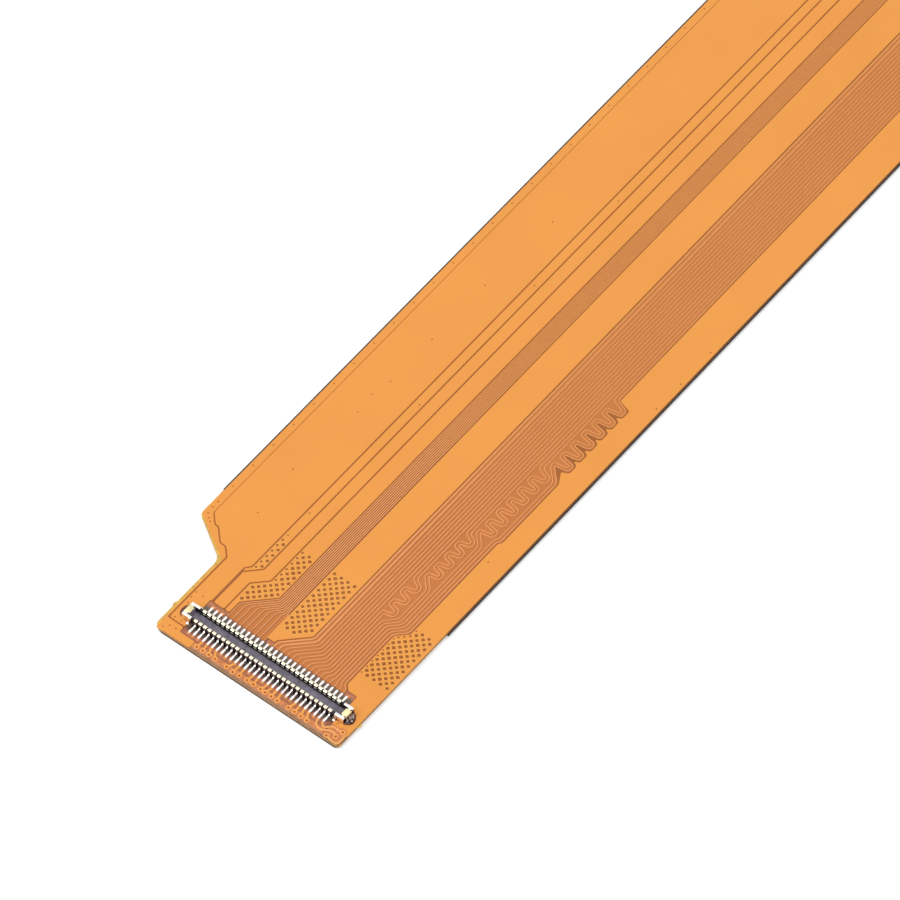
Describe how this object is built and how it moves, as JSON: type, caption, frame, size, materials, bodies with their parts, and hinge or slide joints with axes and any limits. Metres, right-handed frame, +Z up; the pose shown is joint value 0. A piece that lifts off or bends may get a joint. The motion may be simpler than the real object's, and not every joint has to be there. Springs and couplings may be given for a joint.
{
  "type": "flat flex cable",
  "caption": "Amber flexible printed circuit strip with a narrower tab at each end, each tab carrying a fine-pitch board-to-board plug.",
  "frame": {"origin": "on the underside, under the middle of the cable", "axes": "+X along the strip from end a to end b, +Y across it towards the side the tabs are set in from, +Z up out of the plugs' face"},
  "size_m": [0.12, 0.0196, 0.0009],
  "materials": {
    "shield": "black shield film, slightly glossy",
    "coverlay": "translucent amber polyimide, satin",
    "copper": "rolled copper foil",
    "polyimide": "amber polyimide film",
    "gold_plate": "gold over nickel, bright",
    "stiffener": "olive-brown laminate, matt",
    "housing": "moulded liquid crystal polymer, matt",
    "tin_plate": "plated spring brass, bright",
    "solder": "tin solder, grainy"
  },
  "bodies": {
    "root": {"shield_film": "shield", "back_coverlay": "coverlay", "back_ground_plane": "copper", "core_film": "polyimide", "front_ground_areas": "copper", "narrow_track_group": "copper", "wide_track_group": "copper", "solder_pads": "gold_plate", "front_coverlay": "coverlay", "stiffener_a": "stiffener", "plug_a_housing": "housing", "plug_a_outer_contacts": "gold_plate", "plug_a_inner_contacts": "gold_plate", "plug_a_left_hold_down": "tin_plate", "plug_a_right_hold_down": "tin_plate", "plug_a_solder": "solder", "stiffener_b": "stiffener", "plug_b_housing": "housing", "plug_b_outer_contacts": "gold_plate", "plug_b_inner_contacts": "gold_plate", "plug_b_left_hold_down": "tin_plate", "plug_b_right_hold_down": "tin_plate", "plug_b_solder": "solder"}
  },
  "joints": []
}
